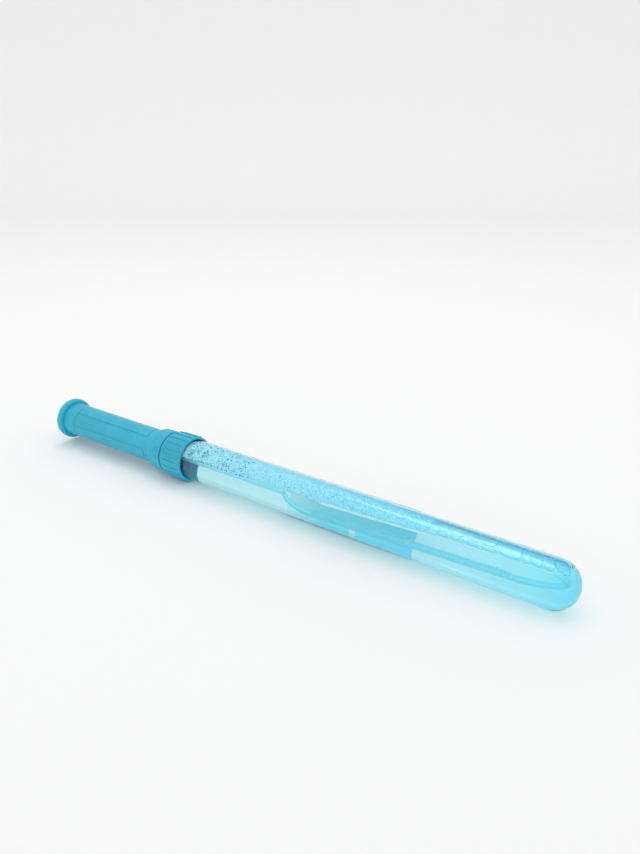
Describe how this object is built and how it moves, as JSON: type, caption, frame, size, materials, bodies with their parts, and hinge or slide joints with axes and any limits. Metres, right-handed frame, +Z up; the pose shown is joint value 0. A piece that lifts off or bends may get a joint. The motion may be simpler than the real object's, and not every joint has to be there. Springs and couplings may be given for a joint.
{
  "type": "bubble wand",
  "caption": "Long bubble wand: clear domed tube of bubble liquid, toothed loop wand inside, ribbed screw collar and slim blue handle with raised grip panels",
  "frame": {"origin": "on the floor under the middle of the object, lying at rest on its collar and domed end", "axes": "+X towards the domed end of the tube, +Z up, the tube axis falls 0.5 degrees towards the dome"},
  "size_m": [0.458, 0.0372, 0.0373],
  "materials": {
    "clear_tube": "clear moulded plastic, smooth, pale blue tint",
    "label_film": "thin printed film, plain pale blue",
    "liquid": "pale blue bubble liquid",
    "foam": "fine foam and thin bubbles",
    "washer": "soft white foamed washer",
    "wand_plastic": "smooth translucent pale plastic",
    "blue_plastic": "smooth light blue moulded plastic, satin"
  },
  "bodies": {
    "tube_body": {"bottle": "clear_tube", "label": "label_film", "bubble_solution": "liquid", "froth": "foam", "surface_bubbles": "foam"},
    "seal_body": {"sealing_washer": "washer"},
    "handle_body": {"handle_grip": "blue_plastic", "end_plug": "blue_plastic", "wand": "wand_plastic"},
    "collar_body": {"screw_collar": "blue_plastic"}
  },
  "joints": [
    {"name": "draw_out", "type": "slide", "parent": "tube_body", "child": "seal_body", "axis": [-1, 0, 0.0086], "range_m": [0, 0.325], "deforming": ["bubble_solution", "froth", "surface_bubbles"]},
    {"name": "thread_lead", "type": "slide", "parent": "seal_body", "child": "handle_body", "axis": [-1, 0, 0.0086], "range_m": [0, 0.006]},
    {"name": "unscrew", "type": "hinge", "parent": "handle_body", "child": "collar_body", "pos_m": [-0.09903, 0, 0.01869], "axis": [-1, 0, 0.0086], "range_deg": [0, 720]}
  ],
  "couplings": [
    {"joint": "thread_lead", "follows": "unscrew", "m_per_rad": 0.00047746}
  ]
}
